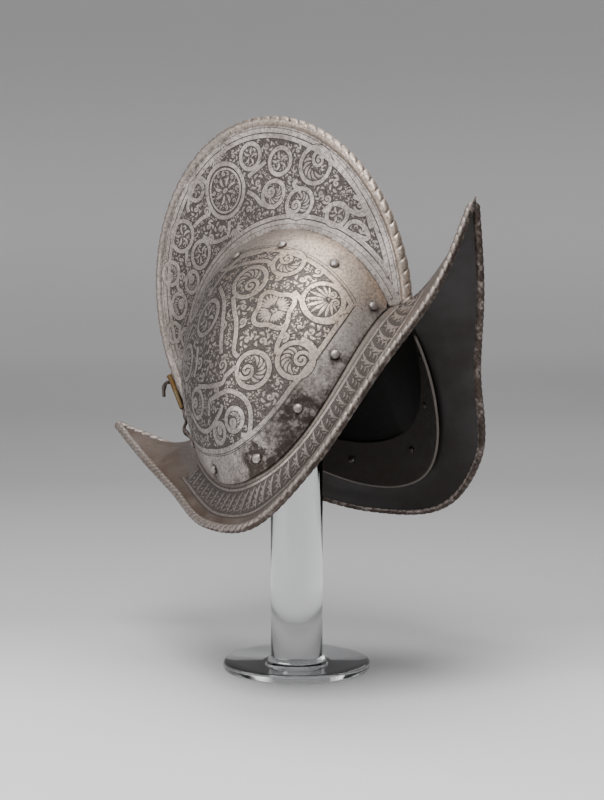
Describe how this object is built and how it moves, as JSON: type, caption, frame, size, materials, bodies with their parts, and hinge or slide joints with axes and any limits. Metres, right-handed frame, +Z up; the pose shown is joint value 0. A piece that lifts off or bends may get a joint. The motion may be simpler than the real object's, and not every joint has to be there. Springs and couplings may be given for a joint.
{
  "type": "morion helmet on a clear display stand",
  "caption": "Combed morion helmet with a boat-shaped brim, roped edges, etched bands and a plume holder, tilted on a clear rod and disc stand.",
  "frame": {"origin": "middle of the stand's underside, on the surface that it stands on", "axes": "+Z up along the stand's rod, +X towards the helmet's front peak, +Y towards the helmet's left side"},
  "size_m": [0.3218, 0.2185, 0.3912],
  "materials": {
    "etched_steel": "worn grey steel with dark etched bands and brown patina",
    "rivet_steel": "polished dome heads in dark rings",
    "dark_iron": "dark forged iron",
    "brass": "dull old brass",
    "leather": "old dark leather with a paler cut edge",
    "clear_stand": "polished clear acrylic"
  },
  "bodies": {
    "root": {"stand_foot": "clear_stand", "stand_rod": "clear_stand", "bowl_right": "etched_steel", "bowl_left": "etched_steel", "comb": "etched_steel", "brim": "etched_steel", "lining_band": "leather", "throat_rivet_right_1": "rivet_steel", "throat_rivet_right_2": "rivet_steel", "throat_rivet_right_3": "rivet_steel", "throat_rivet_right_4": "rivet_steel", "throat_rivet_right_5": "rivet_steel", "throat_rivet_right_6": "rivet_steel", "root_rivet_right_1": "rivet_steel", "root_rivet_right_2": "rivet_steel", "root_rivet_right_3": "rivet_steel", "throat_rivet_left_1": "rivet_steel", "throat_rivet_left_2": "rivet_steel", "throat_rivet_left_3": "rivet_steel", "throat_rivet_left_4": "rivet_steel", "throat_rivet_left_5": "rivet_steel", "throat_rivet_left_6": "rivet_steel", "root_rivet_left_1": "rivet_steel", "root_rivet_left_2": "rivet_steel", "root_rivet_left_3": "rivet_steel", "plume_tube": "brass", "plume_hook": "dark_iron", "plume_scroll": "dark_iron"}
  },
  "joints": []
}
